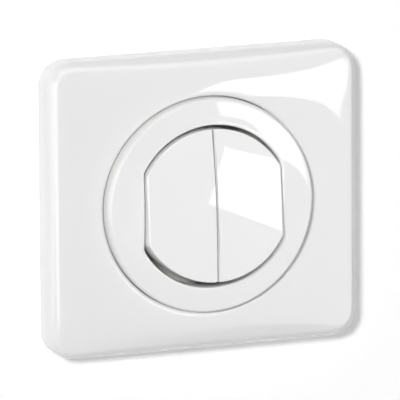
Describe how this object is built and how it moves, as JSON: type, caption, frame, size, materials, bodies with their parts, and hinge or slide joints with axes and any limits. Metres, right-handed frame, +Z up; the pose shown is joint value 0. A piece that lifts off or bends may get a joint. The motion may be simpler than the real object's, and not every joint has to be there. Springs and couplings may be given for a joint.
{
  "type": "double rocker light switch",
  "caption": "Flush wall light switch: two rocker buttons side by side in a round domed ring, on a rounded white cover plate, with the switch modules behind.",
  "frame": {"origin": "centre of the cover plate's rear rim, on the wall's surface", "axes": "+Z up, the front faces -Y, +X to the right as seen from the front, +Y into the wall"},
  "size_m": [0.09, 0.0459, 0.0826],
  "materials": {
    "plate_plastic": "polished white moulding",
    "ring_plastic": "polished white moulding",
    "rocker_plastic": "polished white moulding",
    "zinc_steel": "zinc plated pressing",
    "grey_nylon": "satin moulding",
    "module_plastic": "satin moulding",
    "lever_plastic": "satin moulding",
    "spring_steel": "bright rolled spring",
    "terminal_brass": "bare rolled strip",
    "copper_alloy": "bare rolled strip",
    "contact_silver": "polished silver alloy"
  },
  "bodies": {
    "switch_body": {"cover_plate": "plate_plastic", "trim_ring": "ring_plastic", "support_frame": "zinc_steel", "module_base_right": "module_plastic", "module_cover_right": "module_plastic", "fixed_contacts_right": "contact_silver", "upper_terminal_right": "terminal_brass", "common_terminal_right": "terminal_brass", "lower_terminal_right": "terminal_brass", "clamp_spring_upper_right": "spring_steel", "clamp_spring_common_right": "spring_steel", "clamp_spring_lower_right": "spring_steel", "module_base_left": "module_plastic", "module_cover_left": "module_plastic", "fixed_contacts_left": "contact_silver", "upper_terminal_left": "terminal_brass", "common_terminal_left": "terminal_brass", "lower_terminal_left": "terminal_brass", "clamp_spring_upper_left": "spring_steel", "clamp_spring_common_left": "spring_steel", "clamp_spring_lower_left": "spring_steel"},
    "rocker_right": {"rocker_right": "rocker_plastic", "cradle_right": "grey_nylon"},
    "plunger_right": {"plunger_right": "grey_nylon", "plunger_spring_right": "spring_steel"},
    "contact_rocker_right": {"contact_rocker_right": "copper_alloy", "moving_contacts_right": "contact_silver"},
    "release_lever_upper_right": {"release_lever_upper_right": "lever_plastic"},
    "release_lever_common_right": {"release_lever_common_right": "lever_plastic"},
    "release_lever_lower_right": {"release_lever_lower_right": "lever_plastic"},
    "rocker_left": {"rocker_left": "rocker_plastic", "cradle_left": "grey_nylon"},
    "plunger_left": {"plunger_left": "grey_nylon", "plunger_spring_left": "spring_steel"},
    "contact_rocker_left": {"contact_rocker_left": "copper_alloy", "moving_contacts_left": "contact_silver"},
    "release_lever_upper_left": {"release_lever_upper_left": "lever_plastic"},
    "release_lever_common_left": {"release_lever_common_left": "lever_plastic"},
    "release_lever_lower_left": {"release_lever_lower_left": "lever_plastic"}
  },
  "joints": [
    {"name": "rocker_tilt_right", "type": "hinge", "parent": "switch_body", "child": "rocker_right", "pos_m": [0.0098, -0.0102, 0], "axis": [1, 0, 0], "range_deg": [0, 10]},
    {"name": "contact_rock_right", "type": "hinge", "parent": "switch_body", "child": "contact_rocker_right", "pos_m": [0.0098, 0.0076, 0], "axis": [1, 0, 0], "range_deg": [-10, 0]},
    {"name": "plunger_slide_right", "type": "slide", "parent": "rocker_right", "child": "plunger_right", "axis": [0, -0.9962, 0.0872], "range_m": [0, 0.0006], "stiffness_N_per_m": 900, "springref_m": -0.002, "deforming": ["plunger_spring_right"]},
    {"name": "release_upper_right", "type": "slide", "parent": "switch_body", "child": "release_lever_upper_right", "axis": [0, -1, 0], "range_m": [0, 0.0012], "stiffness_N_per_m": 1500, "springref_m": -0.001, "deforming": ["clamp_spring_upper_right"]},
    {"name": "release_common_right", "type": "slide", "parent": "switch_body", "child": "release_lever_common_right", "axis": [0, -1, 0], "range_m": [0, 0.0012], "stiffness_N_per_m": 1500, "springref_m": -0.001, "deforming": ["clamp_spring_common_right"]},
    {"name": "release_lower_right", "type": "slide", "parent": "switch_body", "child": "release_lever_lower_right", "axis": [0, -1, 0], "range_m": [0, 0.0012], "stiffness_N_per_m": 1500, "springref_m": -0.001, "deforming": ["clamp_spring_lower_right"]},
    {"name": "rocker_tilt_left", "type": "hinge", "parent": "switch_body", "child": "rocker_left", "pos_m": [-0.0098, -0.0102, 0], "axis": [1, 0, 0], "range_deg": [0, 10]},
    {"name": "contact_rock_left", "type": "hinge", "parent": "switch_body", "child": "contact_rocker_left", "pos_m": [-0.0098, 0.0076, 0], "axis": [1, 0, 0], "range_deg": [-10, 0]},
    {"name": "plunger_slide_left", "type": "slide", "parent": "rocker_left", "child": "plunger_left", "axis": [0, -0.9962, 0.0872], "range_m": [0, 0.0006], "stiffness_N_per_m": 900, "springref_m": -0.002, "deforming": ["plunger_spring_left"]},
    {"name": "release_upper_left", "type": "slide", "parent": "switch_body", "child": "release_lever_upper_left", "axis": [0, -1, 0], "range_m": [0, 0.0012], "stiffness_N_per_m": 1500, "springref_m": -0.001, "deforming": ["clamp_spring_upper_left"]},
    {"name": "release_common_left", "type": "slide", "parent": "switch_body", "child": "release_lever_common_left", "axis": [0, -1, 0], "range_m": [0, 0.0012], "stiffness_N_per_m": 1500, "springref_m": -0.001, "deforming": ["clamp_spring_common_left"]},
    {"name": "release_lower_left", "type": "slide", "parent": "switch_body", "child": "release_lever_lower_left", "axis": [0, -1, 0], "range_m": [0, 0.0012], "stiffness_N_per_m": 1500, "springref_m": -0.001, "deforming": ["clamp_spring_lower_left"]}
  ],
  "couplings": [
    {"joint": "contact_rock_right", "follows": "rocker_tilt_right", "ratio": -1},
    {"joint": "contact_rock_left", "follows": "rocker_tilt_left", "ratio": -1}
  ]
}
